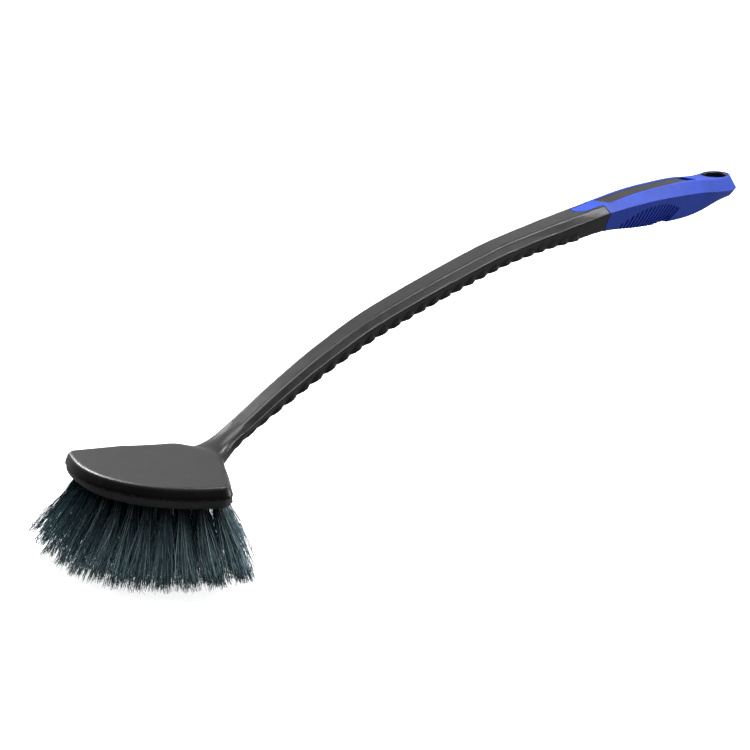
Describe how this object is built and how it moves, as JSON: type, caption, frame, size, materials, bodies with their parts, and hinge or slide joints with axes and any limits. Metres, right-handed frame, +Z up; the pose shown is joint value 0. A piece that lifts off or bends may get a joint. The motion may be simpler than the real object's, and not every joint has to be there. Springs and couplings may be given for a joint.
{
  "type": "wheel brush",
  "caption": "Wheel brush with a fan-shaped head of soft bristle tufts, a long arched handle with a scalloped underside, and a soft grip with a hang hole.",
  "frame": {"origin": "middle of the hang hole's wall, on the hole's axis", "axes": "+X from the head to the grip end, +Z up along the hang hole and away from the bristles, +Y to the left seen from the head"},
  "size_m": [0.5153, 0.1214, 0.0762],
  "materials": {
    "handle_plastic": "satin black polypropylene, soft sheen",
    "grip_rubber": "matt blue thermoplastic rubber",
    "inlay_plastic": "finely ribbed dark grey plastic",
    "block_plastic": "matt black polypropylene",
    "bristle": "soft flagged dark teal filament with paler split tips",
    "staple_steel": "plain steel strip"
  },
  "bodies": {
    "root": {"handle_body": "handle_plastic", "grip_overmould": "grip_rubber", "grip_inlay": "inlay_plastic", "brush_block": "block_plastic", "tuft_row_1": "bristle", "tuft_row_2": "bristle", "tuft_row_3": "bristle", "tuft_row_4": "bristle", "tuft_row_5": "bristle", "tuft_row_6": "bristle", "tuft_row_7": "bristle", "staple_row_1": "staple_steel", "staple_row_2": "staple_steel", "staple_row_3": "staple_steel", "staple_row_4": "staple_steel", "staple_row_5": "staple_steel", "staple_row_6": "staple_steel", "staple_row_7": "staple_steel"}
  },
  "joints": []
}
